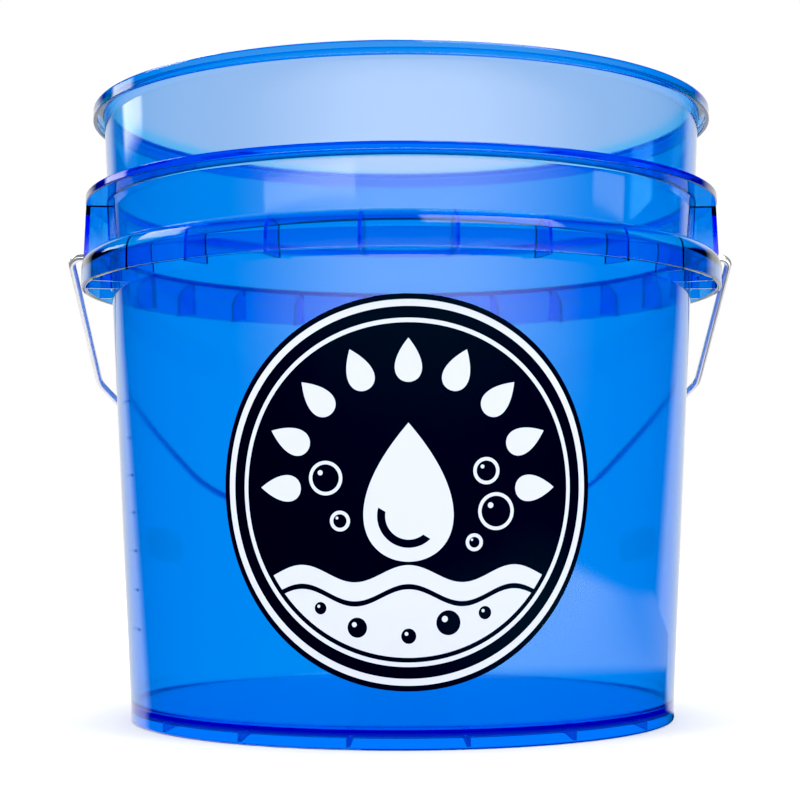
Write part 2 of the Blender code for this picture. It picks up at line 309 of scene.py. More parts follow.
def shaded_smooth(mesh, angle):
    """Shade a mesh smooth except across edges sharper than an angle in degrees."""
    mesh.shade_smooth()
    mesh.set_sharp_from_angle(angle=math.radians(angle))


# ---------------------------------------------------------------- node helpers
class Nodes:
    """A short way to write a material's node tree."""

    def __init__(self, tree):
        self.tree = tree

    def add(self, kind, inputs=None, **settings):
        """A node with its settings, and its inputs given as values or as sockets to link."""
        node = self.tree.nodes.new(kind)
        for name, value in settings.items():
            setattr(node, name, value)
        for name, value in (inputs or {}).items():
            if isinstance(value, bpy.types.NodeSocket):
                self.tree.links.new(value, node.inputs[name])
            else:
                node.inputs[name].default_value = value
        return node

    def maths(self, operation, first, second=0.0, third=0.0):
        """The result socket of one step of arithmetic."""
        node = self.add("ShaderNodeMath", {0: first, 1: second, 2: third}, operation=operation)
        return node.outputs[0]

    def noise(self, coordinates, scale, detail=3.0):
        """A noise value between 0 and 1."""
        node = self.add("ShaderNodeTexNoise", {"Vector": coordinates, "Scale": scale, "Detail": detail})
        return node.outputs["Fac"]

    def spread(self, value, low, high):
        """A value from 0 to 1 mapped onto a range."""
        node = self.add("ShaderNodeMapRange", {"Value": value, "To Min": low, "To Max": high})
        return node.outputs["Result"]

    def bump(self, height, distance, strength=1.0):
        """A normal from a height value, with its distance in metres."""
        inputs = {"Height": height, "Distance": distance, "Strength": strength}
        return self.add("ShaderNodeBump", inputs).outputs["Normal"]

    def blend(self, factor, first, second):
        """A mix of two colours."""
        node = self.add("ShaderNodeMix", {"Factor": factor}, data_type="RGBA")
        node.inputs["A"].default_value = first
        node.inputs["B"].default_value = second
        return node.outputs["Result"]

    def from_axis(self, parts):
        """Distance from the Z axis, from the parts of a point."""
        square = self.maths("MULTIPLY", parts["X"], parts["X"])
        return self.maths("SQRT", self.maths("MULTIPLY_ADD", parts["Y"], parts["Y"], square))


def new_material(name):
    """An empty node material and its helper, with the output node."""
    material = bpy.data.materials.new(name)
    material.use_nodes = True
    material.node_tree.nodes.clear()
    nodes = Nodes(material.node_tree)
    output = nodes.add("ShaderNodeOutputMaterial")
    return material, nodes, output


def object_point(nodes):
    """Coordinates in metres fixed to the piece."""
    return nodes.add("ShaderNodeTexCoord").outputs["Object"]


def faded(nodes, value, edges, low=0.0, high=1.0):
    """A soft step from low to high between two edges, which may run either way."""
    inputs = {"Value": value, "From Min": edges[0], "From Max": edges[1], "To Min": low, "To Max": high}
    return nodes.add("ShaderNodeMapRange", inputs, interpolation_type="SMOOTHSTEP").outputs["Result"]


def add_surface(nodes, output, inputs):
    """Give a material its principled surface."""
    shader = nodes.add("ShaderNodeBsdfPrincipled", inputs)
    nodes.tree.links.new(shader.outputs[0], output.inputs["Surface"])


FROSTED_UNDERSIDE = 0.62      # roughness of the floor's underside
FROSTED_MARGIN = 0.3          # this far above it, a point still counts as underside
FROSTED_INSET = 0.2           # kept clear inside the foot ring
PLASTIC_TINT = (0.29, 0.65, 0.965, 1.0)
PLASTIC_DEPTH = (0.0, 0.70, 1.0, 1.0)  # colour that is left by the depth of plastic
PLASTIC_DENSITY = 330.0
PLASTIC_HAZE = (0.035, 0.055)


def translucent_blue(name="translucent_blue_plastic"):
    """Clear blue polypropylene: light is tinted by the depth of plastic that it crosses."""
    material, nodes, output = new_material(name)
    point = object_point(nodes)
    haze = nodes.spread(nodes.noise(point, 35.0, 4.0), *PLASTIC_HAZE)
    parts = nodes.add("ShaderNodeSeparateXYZ", {"Vector": point}).outputs
    out = nodes.from_axis(parts)
    low = nodes.maths("LESS_THAN", parts["Z"], (FLOOR_UNDERSIDE + FROSTED_MARGIN) * MM)
    inside = nodes.maths("LESS_THAN", out, (FOOT_RADIUS - FOOT_WIDTH - FROSTED_INSET) * MM)
    underside = nodes.maths("MULTIPLY", low, inside)
    haze = nodes.maths("MAXIMUM", haze, nodes.maths("MULTIPLY", underside, FROSTED_UNDERSIDE))
    ripple = nodes.noise(point, 90.0, 2.0)
    inputs = {
        "Base Color": PLASTIC_TINT,
        "Roughness": haze,
        "IOR": 1.45,
        "Transmission Weight": 1.0,
        "Normal": nodes.bump(ripple, 0.00002, 0.4),
    }
    add_surface(nodes, output, inputs)
    depth = nodes.add("ShaderNodeVolumeAbsorption", {"Color": PLASTIC_DEPTH, "Density": PLASTIC_DENSITY})
    nodes.tree.links.new(depth.outputs[0], output.inputs["Volume"])
    return material


def zinc_wire(name="zinc_plated_wire"):
    """Bright drawn wire with a fine speckled bump and a little dulling."""
    material, nodes, output = new_material(name)
    point = object_point(nodes)
    dulling = nodes.noise(point, 60.0, 5.0)
    inputs = {
        "Base Color": nodes.blend(dulling, (0.74, 0.75, 0.77, 1.0), (0.92, 0.92, 0.92, 1.0)),
        "Metallic": 0.75,
        "Roughness": nodes.spread(dulling, 0.13, 0.22),
        "Normal": nodes.bump(nodes.noise(point, 900.0, 2.0), 0.00002, 0.4),
    }
    add_surface(nodes, output, inputs)
    return material


def grip_plastic(name="black_grip_plastic"):
    """Fine spark-textured black plastic, a little polished by hands."""
    material, nodes, output = new_material(name)
    point = object_point(nodes)
    grain = nodes.noise(point, 2200.0, 2.0)
    wear = nodes.noise(point, 45.0, 4.0)
    inputs = {
        "Base Color": nodes.blend(wear, (0.012, 0.012, 0.014, 1.0), (0.030, 0.030, 0.033, 1.0)),
        "Roughness": nodes.spread(wear, 0.38, 0.58),
        "Normal": nodes.bump(grain, 0.00005, 0.6),
    }
    add_surface(nodes, output, inputs)
    return material


# ---------------------------------------------------------------- bucket
def shoulder_curve(inset):
    """The shoulder's quarter-oval from the wall out to the skirt, moved inwards by an inset."""
    points = []
    start_radius = outer_radius(SHOULDER_TOP)
    across = SHOULDER_RADIUS - inset - start_radius
    drop = SHOULDER_TOP - SHOULDER_BOTTOM
    for step in range(SHOULDER_STEPS + 1):
        angle = math.radians(90.0 * step / SHOULDER_STEPS)
        radius = start_radius + across * math.sin(angle)
        points.append((radius, SHOULDER_BOTTOM - inset + drop * math.cos(angle)))
    return points


def bucket_profile():
    """Half section of the bucket with rounded edges, from the middle of the floor up the inside."""
    upper = [
        ((0.0, FLOOR_TOP), 0.0),
        ((inner_radius(FLOOR_TOP), FLOOR_TOP), 2.4),
        ((inner_radius(HEIGHT), HEIGHT), 0.7),
        ((RIM_LAND_RADIUS, HEIGHT), 0.8),
        ((RIM_RADIUS, RIM_SHOULDER_HEIGHT), 1.2),
        ((RIM_RADIUS, LIP_BOTTOM), 0.6),
        ((RIM_RADIUS - LIP_WALL, LIP_BOTTOM), 0.6),
        ((RIM_RADIUS - LIP_WALL, RIM_UNDERSIDE), 0.6),
        ((outer_radius(RIM_UNDERSIDE), RIM_UNDERSIDE), 0.8),
        ((outer_radius(UPPER_RING_TOP), UPPER_RING_TOP), 0.5),
        ((UPPER_RING_RADIUS, UPPER_RING_TOP), 0.5),
        ((UPPER_RING_RADIUS, UPPER_RING_BOTTOM), 0.5),
        ((outer_radius(UPPER_RING_BOTTOM), UPPER_RING_BOTTOM), 0.5),
    ]
    profile = rounded_path(upper + [((outer_radius(SHOULDER_TOP), SHOULDER_TOP), 0.0)])[:-1]
    profile += shoulder_curve(0.0)
    skirt = [
        ((SHOULDER_RADIUS, SHOULDER_BOTTOM), 0.0),
        ((SKIRT_RADIUS, SKIRT_BOTTOM), 0.6),
        ((SKIRT_RADIUS - SKIRT_WALL, SKIRT_BOTTOM), 0.6),
        ((SHOULDER_RADIUS - SKIRT_WALL, SHOULDER_BOTTOM - SKIRT_WALL), 0.0),
    ]
    profile += rounded_path(skirt)[1:-1]
    profile += list(reversed(shoulder_curve(SKIRT_WALL)))
    base = [
        ((outer_radius(SHOULDER_TOP), SHOULDER_TOP - SKIRT_WALL), 0.0),
        ((outer_radius(SKIRT_BOTTOM), SKIRT_BOTTOM), 0.0),
        ((outer_radius(FOOT_HEIGHT), FOOT_HEIGHT), 0.0),
        ((FOOT_RADIUS, 0.0), 0.8),
        ((FOOT_RADIUS - FOOT_WIDTH, 0.0), 0.6),
        ((FOOT_RADIUS - FOOT_WIDTH, FLOOR_UNDERSIDE), 0.6),
        ((0.0, FLOOR_UNDERSIDE), 0.0),
    ]
    return held_flat(profile + rounded_path(base)[1:])


def stiffening_ribs():
    """The gussets inside the lower ring and the short ribs inside the foot ring."""
    bm = bmesh.new()
    skirt_middle = SKIRT_RADIUS - 0.5 * SKIRT_WALL
    gusset = [(wall_middle(GUSSET_BOTTOM), GUSSET_BOTTOM), (skirt_middle, GUSSET_BOTTOM)]
    gusset += list(reversed(shoulder_curve(0.5 * SKIRT_WALL)))[:-1]
    gusset.append((wall_middle(SHOULDER_TOP), SHOULDER_TOP - 0.5 * SKIRT_WALL))
    pitch = 360.0 / GUSSET_COUNT
    for index in range(GUSSET_COUNT):
        angle = pitch * (index + 0.5)
        if abs(angle % 180.0 - 90.0) < 90.0 - EAR_HALF_ANGLE:
            add_rib(bm, gusset, angle, GUSSET_THICKNESS)
    foot_middle = FOOT_RADIUS - 0.5 * FOOT_WIDTH
    foot_inside = FOOT_RADIUS - FOOT_WIDTH
    floor_middle = 0.5 * (FLOOR_TOP + FLOOR_UNDERSIDE)
    rib_end = foot_inside - FOOT_RIB_LENGTH
    foot_rib = [(foot_middle, FOOT_RIB_BOTTOM), (foot_middle, floor_middle), (rib_end, floor_middle)]
    foot_rib.append((rib_end, FLOOR_UNDERSIDE - FOOT_RIB_SLOPE))
    foot_rib.append((foot_inside - FOOT_RIB_SLOPE, FOOT_RIB_BOTTOM))
    pitch = 360.0 / FOOT_RIB_COUNT
    for index in range(FOOT_RIB_COUNT):
        add_rib(bm, foot_rib, pitch * (index + 0.5), GUSSET_THICKNESS)
    return bm


def level_of(litres):
    """Height of the water's surface for a volume, found by filling the bucket in thin layers."""
    filled = 0.0
    level = FLOOR_TOP
    while filled < litres * CUBIC_MM_PER_LITRE:
        filled += math.pi * inner_radius(level + 0.5 * WATER_LAYER) ** 2 * WATER_LAYER
        level += WATER_LAYER
    return level


def litre_ticks():
    """Low ridges on the outside, long at the even litres and short at the odd ones."""
    bm = bmesh.new()
    for litres in range(*TICK_LITRES):
        level = level_of(litres)
        low = level - 0.5 * TICK_HEIGHT
        high = level + 0.5 * TICK_HEIGHT
        outside = outer_radius(level) + TICK_RELIEF
        profile = [(wall_middle(low), low), (outside, low), (outside, high), (wall_middle(high), high)]
        half = TICK_HALF_ANGLES[litres % 2 == 0]
        add_wedge(bm, profile, TICK_ANGLE + TICK_HALF_ANGLES[1] - half, half, TICK_STEPS)
    return bm


def ear_blocks():
    """The outside of both ears, still solid."""
    bm = bmesh.new()
    top = 0.5 * (UPPER_RING_TOP + UPPER_RING_BOTTOM) - EAR_CORNER_OFFSET
    profile = [(wall_middle(top), top), (EAR_TOP_RADIUS, top)]
    profile.append((EAR_LOW_RADIUS, SHOULDER_BOTTOM + EAR_CORNER_OFFSET))
    profile += [(EAR_LOW_RADIUS, EAR_BOTTOM), (wall_middle(EAR_BOTTOM), EAR_BOTTOM)]
    for middle in (0.0, 180.0):
        add_wedge(bm, profile, middle, EAR_HALF_ANGLE, EAR_STEPS)
    return bm


def ear_pockets():
    """The hollow of both ears, reaching out below the skirt."""
    bm = bmesh.new()
    top = UPPER_RING_BOTTOM - EAR_ROOF
    below = SKIRT_BOTTOM - POCKET_REACH
    plate_inside = EAR_LOW_RADIUS - EAR_PLATE
    profile = [(outer_radius(top) + EAR_BACKING, top), (EAR_TOP_RADIUS - EAR_PLATE, top)]
    profile += [(plate_inside, SHOULDER_BOTTOM), (plate_inside, below)]
    profile.append((outer_radius(below) + EAR_BACKING, below))
    for middle in (0.0, 180.0):
        add_wedge(bm, profile, middle, EAR_POCKET_HALF_ANGLE, POCKET_STEPS)
    return bm


def wire_holes():
    """A round hole through each ear's outer plate, on the pivot axis."""
    bm = bmesh.new()
    for side in (-1.0, 1.0):
        ends = []
        for x in (EAR_LOW_RADIUS - WIRE_HOLE_REACH, EAR_LOW_RADIUS + WIRE_HOLE_REACH):
            ring = []
            for step in range(WIRE_HOLE_SIDES):
                turn = 2.0 * math.pi * (step + 0.5) / WIRE_HOLE_SIDES
                y = WIRE_HOLE_RADIUS * math.cos(turn)
                z = PIVOT_HEIGHT + WIRE_HOLE_RADIUS * math.sin(turn)
                ring.append(bm.verts.new((side * x * MM, y * MM, z * MM)))
            ends.append(ring)
        join_rings(bm, *ends)
        add_ends(bm, ends)
    return bm


def boolean(piece, bm, operation):
    """Join a solid to a piece, or cut it out, and apply the result to its mesh."""
    helper = add_object("helper", mesh_from("helper", bm))
    modifier = piece.modifiers.new("step", "BOOLEAN")
    modifier.operation = operation
    modifier.solver = "EXACT"
    modifier.object = helper
    bpy.context.view_layer.update()
    evaluated = piece.evaluated_get(bpy.context.evaluated_depsgraph_get())
    result = bpy.data.meshes.new_from_object(evaluated)
    piece.modifiers.remove(modifier)
    piece.data = result
    bpy.data.objects.remove(helper, do_unlink=True)


def make_bucket():
    """The one-piece moulding."""
    mesh = mesh_from("bucket_moulding", turned(bucket_profile(), SEGMENTS))
    bucket = add_object("bucket_moulding", mesh)
    boolean(bucket, stiffening_ribs(), "UNION")
    boolean(bucket, litre_ticks(), "UNION")
    boolean(bucket, ear_blocks(), "UNION")
    boolean(bucket, ear_pockets(), "DIFFERENCE")
    boolean(bucket, wire_holes(), "DIFFERENCE")
    shaded_smooth(bucket.data, 32.0)
    bucket.data.materials.clear()
    bucket.data.materials.append(translucent_blue())
    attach(bucket, "bucket")
    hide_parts("bucket_body")


# ---------------------------------------------------------------- bail
def bail_path():
    """Centreline of the wire in the bail's plane, as distance from the centre and from the pivot."""
    corners = [
        ((HOOK_X, HOOK_LENGTH), 0.0),
        ((HOOK_X, 0.0), HOOK_BEND),
        ((LEG_TOP_X, 0.0), LEG_BEND),
        (LEG_FOOT, LEG_FOOT_BEND),
        (SHOULDER_CORNER, SHOULDER_CORNER_BEND),
        ((GRIP_CORNER_X, BAIL_REACH), GRIP_CORNER_BEND),
        ((0.0, BAIL_REACH), 0.0),
    ]
    half = rounded_path(corners)[:-1]
    return half + [(-x, w) for x, w in reversed(half)]


def swept_wire(path, radius, sides):
    """A closed round tube along a flat path in the XY plane, with slightly rounded ends."""
    bm = bmesh.new()
    upright = Vector((0.0, 0.0, 1.0))
    points = [Vector((x, w, 0.0)) for x, w in path]
    stations = []
    for index, point in enumerate(points):
        before = points[max(index - 1, 0)]
        after = points[min(index + 1, len(points) - 1)]
        along = (after - before).normalized()
        stations.append((point, along, radius))
    cap = WIRE_END_ROUND * radius
    first_point, first_along = stations[0][:2]
    last_point, last_along = stations[-1][:2]
    start = []
    end = []
    for step in range(WIRE_END_STEPS):
        turn = 0.5 * math.pi * step / WIRE_END_STEPS
        shrink = radius - cap * (1.0 - math.sin(turn))
        start.append((first_point + first_along * cap * (1.0 - math.cos(turn)), first_along, shrink))
        end.append((last_point - last_along * cap * (1.0 - math.cos(turn)), last_along, shrink))
    stations[0] = (first_point + first_along * cap, first_along, radius)
    stations[-1] = (last_point - last_along * cap, last_along, radius)
    stations = start + stations + list(reversed(end))
    rings = []
    for point, along, size in stations:
        side = Vector((-along.y, along.x, 0.0))
        ring = []
        for step in range(sides):
            turn = 2.0 * math.pi * step / sides
            offset = side * math.cos(turn) + upright * math.sin(turn)
            ring.append(bm.verts.new((point + offset * size) * MM))
        rings.append(ring)
    for near, far in zip(rings, rings[1:]):
        join_rings(bm, near, far)
    add_ends(bm, rings)
    return bm


def make_bail():
    """The wire, turned down behind the bucket about the pivot axis."""
    mesh = mesh_from("bail", swept_wire(bail_path(), WIRE_RADIUS, WIRE_SIDES))
    to_pivot = Matrix.Translation((0.0, 0.0, PIVOT_HEIGHT * MM))
    mesh.transform(to_pivot @ Matrix.Rotation(-BAIL_DROP, 4, "X"))
    shaded_smooth(mesh, 50.0)
    mesh.materials.append(zinc_wire())
    bail = add_object("bail", mesh)
    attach(bail, "bail")
    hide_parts("bail_wire")


# ---------------------------------------------------------------- grip
GRIP_END_RADIUS = 9.0
GRIP_BORE_RADIUS = 2.4
GRIP_COLLAR = 3.0
GRIP_MOUTH = (0.5, 1.2)       # the bevel at each end of the bore, across and along
GRIP_END_ROUND = 1.0
GRIP_END_STEPS = 4
GRIP_STEP_DOWN = 0.5          # how far the barrel's ends lie below the collars
GRIP_STEPS = 48
FLUTES = 20
FLUTE_DEPTH = 0.55
FLUTE_START = 1.5             # distance from the barrel's end
FLUTE_RUN_OUT = 5.0
FLUTE_SIDES = 8               # faces across one flute


def grip_profile():
    """Half section of the grip, as distance along the wire, radius and share of the flutes' depth."""
    half = 0.5 * GRIP_LENGTH
    swell = GRIP_RADIUS - GRIP_END_RADIUS + GRIP_STEP_DOWN
    barrel_end = half - GRIP_COLLAR
    mouth_radius = GRIP_BORE_RADIUS + GRIP_MOUTH[0]
    round_radius = GRIP_END_RADIUS - GRIP_END_ROUND
    round_centre = half - GRIP_END_ROUND
    section = [(GRIP_BORE_RADIUS, half - GRIP_MOUTH[1], 0.0), (mouth_radius, half, 0.0)]
    for radius, along in arc((round_radius, round_centre), GRIP_END_ROUND, 90.0, 0.0, GRIP_END_STEPS):
        section.append((radius, along, 0.0))
    for step in range(GRIP_STEPS + 1):
        along = barrel_end * (1.0 - 2.0 * step / GRIP_STEPS)
        radius = GRIP_RADIUS - swell * (along / barrel_end) ** 2
        from_end = barrel_end - abs(along)
        fade = min(max((from_end - FLUTE_START) / FLUTE_RUN_OUT, 0.0), 1.0)
        section.append((radius, along, fade * fade * (3.0 - 2.0 * fade)))
    for radius, along in arc((round_radius, -round_centre), GRIP_END_ROUND, 0.0, -90.0, GRIP_END_STEPS):
        section.append((radius, along, 0.0))
    section += [(mouth_radius, -half, 0.0), (GRIP_BORE_RADIUS, GRIP_MOUTH[1] - half, 0.0)]
    return section


def make_grip():
    """The hand grip: a gently swollen sleeve with shallow lengthwise flutes."""
    bm = bmesh.new()
    sides = FLUTES * FLUTE_SIDES
    rings = []
    for radius, along, share in grip_profile():
        ring = []
        for step in range(sides):
            turn = 2.0 * math.pi * step / sides
            valley = 0.5 - 0.5 * math.cos(FLUTES * turn)
            size = radius - FLUTE_DEPTH * share * valley * valley
            place = (along * MM, size * math.cos(turn) * MM, size * math.sin(turn) * MM)
            ring.append(bm.verts.new(place))
        rings.append(ring)
    for near, far in zip(rings, rings[1:] + rings[:1]):
        join_rings(bm, near, far)
    mesh = mesh_from("grip", bm)
    mesh.transform(Matrix.Translation(GRIP_CENTRE * MM))
    shaded_smooth(mesh, 40.0)
    mesh.materials.append(grip_plastic())
    grip = add_object("grip", mesh)
    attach(grip, "grip")
    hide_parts("bail_grip")


# ---------------------------------------------------------------- label
LABEL_LIFT = 0.06
LABEL_THICKNESS = 0.22
LABEL_RINGS = 20
LABEL_SIDES = 160

# The print, in millimetres from the label's centre. Its two rings, as radius and half width, then the motif
RING_OUTER = (79.2, 1.45)
RING_INNER = (71.9, 0.95)
CROWN_RADIUS = 46.0
CROWN_PITCH = 22.0            # degrees between the drops of the crown
CROWN_REACH = 88.0            # degrees either side of straight up
CROWN_DROP = (18.5, 5.6)      # height and half width
BIG_DROP = (-29.0, 58.0, 19.0)    # foot, height and half width
BIG_DROP_SHINE = (-10.0, 11.5, 1.7)    # centre height, radius and half width of the curved highlight
SHINE_CUT = (-0.6, -4.0)      # slope of the line that the highlight stays below, and its offset
# Bubbles, as places across and up, and radii
BUBBLES = (
    (-35.0, 6.0, 6.5),
    (-29.0, -12.0, 3.6),
    (33.0, 9.0, 5.0),
    (37.5, -8.0, 7.2),
    (28.0, -21.0, 3.0),
)
BUBBLE_LINE = 0.75            # half width of a bubble's outline
BUBBLE_GLINT = (0.35, 0.17)   # place and size of its highlight, as shares of its radius
WAVE_TOP = -34.0
WAVE_HEIGHT = 3.6
WAVE_LENGTH = 46.0
WAVE_EDGE = 69.0              # the waves stop at this radius, inside the inner ring
WAVE_LINE = (9.0, 1.1)        # a dark wavy line this far under the top, and its half width
DROP_FULLNESS = 0.3849        # widest value of a drop's outline before scaling
WAVE_BUBBLES = (
    (-22.0, -56.5, 4.2),
    (0.0, -60.0, 3.2),
    (17.0, -54.5, 5.2),
    (33.0, -50.5, 2.8),
    (-38.0, -48.5, 2.6),
)
WAVE_BUBBLE_GLINT = (0.3, 0.25)


class Ink:
    """Masks of 0 and 1 drawn on the label, from its own flat coordinates in millimetres."""

    def __init__(self, nodes):
        self.nodes = nodes
        self.across = nodes.add("ShaderNodeAttribute", attribute_name="label_across").outputs["Fac"]
        self.up = nodes.add("ShaderNodeAttribute", attribute_name="label_up").outputs["Fac"]

    def either(self, first, second):
        """Where one mask or the other is inked."""
        return self.nodes.maths("MAXIMUM", first, second)

    def both(self, first, second):
        """Where both masks are inked."""
        return self.nodes.maths("MULTIPLY", first, second)

    def outside(self, mask):
        """Where a mask isn't inked."""
        return self.nodes.maths("SUBTRACT", 1.0, mask)

    def printed_side(self):
        """The outer face, which carries the print. The face against the wall is plain."""
        side = self.nodes.add("ShaderNodeAttribute", attribute_name="label_side").outputs["Fac"]
        return self.nodes.maths("GREATER_THAN", side, 0.5)

    def distance(self, across, up):
        """Distance from a point."""
        right = self.nodes.maths("SUBTRACT", self.across, across)
        above = self.nodes.maths("SUBTRACT", self.up, up)
        square = self.nodes.maths("MULTIPLY", above, above)
        return self.nodes.maths("SQRT", self.nodes.maths("MULTIPLY_ADD", right, right, square))

    def disc(self, across, up, radius):
        """A filled circle."""
        return self.nodes.maths("LESS_THAN", self.distance(across, up), radius)

    def within(self, radius, across, up, half_width):
        """A ring of a radius round a point."""
        return self.nodes.maths("COMPARE", self.distance(across, up), radius, half_width)

    def bubble(self, across, up, radius):
        """A thin ring with a small highlight."""
        ring = self.within(radius, across, up, BUBBLE_LINE)
        return self.either(ring, self.glint(across, up, radius, *BUBBLE_GLINT))

    def glint(self, across, up, radius, place, size):
        """A spot to the upper left inside a bubble, by shares of its radius."""
        return self.disc(across - place * radius, up + place * radius, size * radius)

    def drop(self, sideways, rise, height, half_width):
        """A water drop with its tip up, from offsets to its lowest point."""
        nodes = self.nodes
        share = nodes.maths("DIVIDE", rise, height)
        share = nodes.maths("MINIMUM", nodes.maths("MAXIMUM", share, 0.0), 1.0)
        taper = nodes.maths("MULTIPLY", nodes.maths("SQRT", share), nodes.maths("SUBTRACT", 1.0, share))
        limit = nodes.maths("MULTIPLY", taper, half_width / DROP_FULLNESS)
        return nodes.maths("LESS_THAN", nodes.maths("ABSOLUTE", sideways), limit)

    def crown_of_drops(self):
        """Drops that point outwards in an arc over the middle."""
        nodes = self.nodes
        angle = nodes.maths("DEGREES", nodes.maths("ARCTAN2", self.across, self.up))
        offset = nodes.maths("WRAP", angle, 0.5 * CROWN_PITCH, -0.5 * CROWN_PITCH)
        turn = nodes.maths("RADIANS", offset)
        out = self.distance(0.0, 0.0)
        sideways = nodes.maths("MULTIPLY", out, nodes.maths("SINE", turn))
        rise = nodes.maths("MULTIPLY", out, nodes.maths("COSINE", turn))
        drops = self.drop(sideways, nodes.maths("SUBTRACT", rise, CROWN_RADIUS), *CROWN_DROP)
        reach = CROWN_REACH + 0.5 * CROWN_PITCH
        return self.both(drops, nodes.maths("LESS_THAN", nodes.maths("ABSOLUTE", angle), reach))

    def big_drop(self):
        """The large drop in the middle with a curved highlight left dark."""
        nodes = self.nodes
        foot, height, half_width = BIG_DROP
        body = self.drop(self.across, nodes.maths("SUBTRACT", self.up, foot), height, half_width)
        shine_up, shine_radius, shine_width = BIG_DROP_SHINE
        shine = self.within(shine_radius, 0.0, shine_up, shine_width)
        slope, offset = SHINE_CUT
        over_line = nodes.maths("SUBTRACT", self.up, nodes.maths("MULTIPLY", self.across, slope))
        corner = nodes.maths("LESS_THAN", over_line, shine_up + offset)
        return self.both(body, self.outside(self.both(shine, corner)))

    def waves(self):
        """The white water in the lower part, with a dark wavy line and dark bubbles."""
        nodes = self.nodes
        phase = nodes.maths("MULTIPLY", self.across, 2.0 * math.pi / WAVE_LENGTH)
        wave = nodes.maths("MULTIPLY_ADD", nodes.maths("COSINE", phase), WAVE_HEIGHT, WAVE_TOP)
        depth = nodes.maths("SUBTRACT", wave, self.up)
        water = self.both(nodes.maths("GREATER_THAN", depth, 0.0), self.disc(0.0, 0.0, WAVE_EDGE))
        dark = nodes.maths("COMPARE", depth, *WAVE_LINE)
        for across, up, size in WAVE_BUBBLES:
            dark = self.either(dark, self.disc(across, up, size))
            dark = self.both(dark, self.outside(self.glint(across, up, size, *WAVE_BUBBLE_GLINT)))
        return self.both(water, self.outside(dark))


def printed_vinyl(name="printed_vinyl"):
    """Black vinyl with a printed motif of drops, bubbles and waves, satin with a slight orange peel."""
    material, nodes, output = new_material(name)
    ink = Ink(nodes)
    white = ink.within(RING_OUTER[0], 0.0, 0.0, RING_OUTER[1])
    white = ink.either(white, ink.within(RING_INNER[0], 0.0, 0.0, RING_INNER[1]))
    white = ink.either(white, ink.crown_of_drops())
    white = ink.either(white, ink.big_drop())
    for across, up, size in BUBBLES:
        white = ink.either(white, ink.bubble(across, up, size))
    white = ink.both(ink.either(white, ink.waves()), ink.printed_side())
    point = object_point(nodes)
    inputs = {
        "Base Color": nodes.blend(white, (0.0022, 0.0020, 0.0042, 1.0), (0.63, 0.67, 0.79, 1.0)),
        "Roughness": nodes.spread(nodes.noise(point, 40.0, 4.0), 0.16, 0.26),
        "Specular IOR Level": 0.035,
        "Normal": nodes.bump(nodes.noise(point, 350.0, 2.0), 0.00002, 0.4),
    }
    add_surface(nodes, output, inputs)
    return material


def make_label():
    """The round vinyl label, bent to the wall, with its flat position kept for the print."""
    bm = bmesh.new()
    places = {}
    wall_radius = outer_radius(LABEL_CENTRE_HEIGHT)

    def vertex(size, step, lift):
        turn = 2.0 * math.pi * step / LABEL_SIDES
        across = size * math.cos(turn)
        rise = size * math.sin(turn)
        z = LABEL_CENTRE_HEIGHT + rise
        angle = -90.0 + math.degrees(across / wall_radius)
        new = bm.verts.new(on_bucket(outer_radius(z) + lift, angle, z))
        places[new] = (across, rise, 1.0 if lift > LABEL_LIFT else 0.0)
        return new

    sheets = []
    for lift in (LABEL_LIFT + LABEL_THICKNESS, LABEL_LIFT):
        middle = vertex(0.0, 0, lift)
        rings = []
        for ring in range(1, LABEL_RINGS + 1):
            size = LABEL_RADIUS * ring / LABEL_RINGS
            rings.append([vertex(size, step, lift) for step in range(LABEL_SIDES)])
        sheets.append(rings)
        for step in range(LABEL_SIDES):
            after = (step + 1) % LABEL_SIDES
            bm.faces.new((middle, rings[0][step], rings[0][after]))
            for inner, outer in zip(rings, rings[1:]):
                bm.faces.new((inner[step], outer[step], outer[after], inner[after]))
    join_rings(bm, sheets[0][-1], sheets[1][-1])
    bm.verts.index_update()
    flat = [None] * len(bm.verts)
    for vert, place in places.items():
        flat[vert.index] = place
    mesh = mesh_from("label", bm)
    for axis, name in enumerate(("label_across", "label_up", "label_side")):
        attribute = mesh.attributes.new(name, "FLOAT", "POINT")
        attribute.data.foreach_set("value", [place[axis] for place in flat])
    shaded_smooth(mesh, 40.0)
    mesh.materials.append(printed_vinyl())
    label = add_object("label", mesh)
    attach(label, "bucket")
    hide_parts("front_label")


# ---------------------------------------------------------------- studio
WHITE = (1.0, 1.0, 1.0, 1.0)
BLACK_LEVEL = (0.018, 0.006, 0.0)      # light in each colour that is shown as none
CAMERA_DISTANCE = 870.5
CAMERA_HEIGHT = 99.7
CAMERA_SIDE = -1.15           # degrees round the bucket from straight in front, towards -X
CAMERA_TILT = 3.62            # degrees upwards
CAMERA_ROLL = -0.13
CAMERA_YAW = 0.0565           # degrees to the left of the bucket's axis
CAMERA_LENS = 78.87


def make_camera():
    """A low camera in front of the bucket, looking slightly up."""
    data = bpy.data.cameras.new("camera")
    data.lens = CAMERA_LENS
    data.sensor_width = 36.0
    camera = add_object("camera", data)
    camera.location = on_bucket(CAMERA_DISTANCE, -90.0 + CAMERA_SIDE, CAMERA_HEIGHT)
    turn = Matrix.Rotation(math.radians(CAMERA_SIDE + CAMERA_YAW), 4, "Z")
    tilt = Matrix.Rotation(math.radians(90.0 + CAMERA_TILT), 4, "X")
    roll = Matrix.Rotation(math.radians(CAMERA_ROLL), 4, "Z")
    camera.rotation_euler = (turn @ tilt @ roll).to_euler()
    bpy.context.scene.camera = camera


